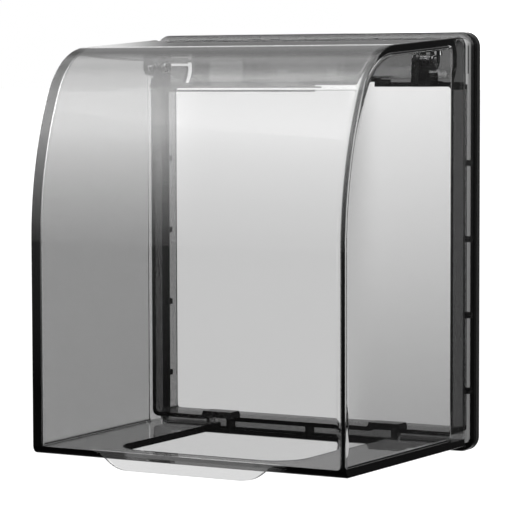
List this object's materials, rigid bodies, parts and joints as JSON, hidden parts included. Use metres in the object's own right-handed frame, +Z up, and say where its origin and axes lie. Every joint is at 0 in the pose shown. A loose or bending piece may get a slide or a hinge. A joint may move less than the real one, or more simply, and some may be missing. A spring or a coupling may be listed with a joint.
{
  "type": "outlet splash cover",
  "caption": "Square wall outlet splash cover: a deep clear smoke-grey lid that swings up on a wall frame with a window collar.",
  "frame": {"origin": "centre of the outlet window, in the plane of the wall", "axes": "+X right as seen from the front, +Y into the wall, +Z up"},
  "size_m": [0.0998, 0.0731, 0.114],
  "materials": {
    "frame_plastic": "clear dark smoke-grey polycarbonate, glossy",
    "lid_plastic": "clear smoke-grey polycarbonate, polished",
    "clip_plastic": "clear polycarbonate, glossy",
    "pin_steel": "turned stainless steel",
    "seal_rubber": "black closed-cell rubber, matt"
  },
  "bodies": {
    "frame": {"mounting_frame": "frame_plastic", "centre_clip": "clip_plastic", "rim_seal": "seal_rubber", "hinge_pin_left": "pin_steel", "hinge_pin_right": "pin_steel"},
    "lid": {"lid": "lid_plastic"}
  },
  "joints": [
    {"name": "lid_hinge", "type": "hinge", "parent": "frame", "child": "lid", "pos_m": [0, -0.0179, 0.0534], "axis": [-1, 0, 0], "range_deg": [0, 90]}
  ]
}
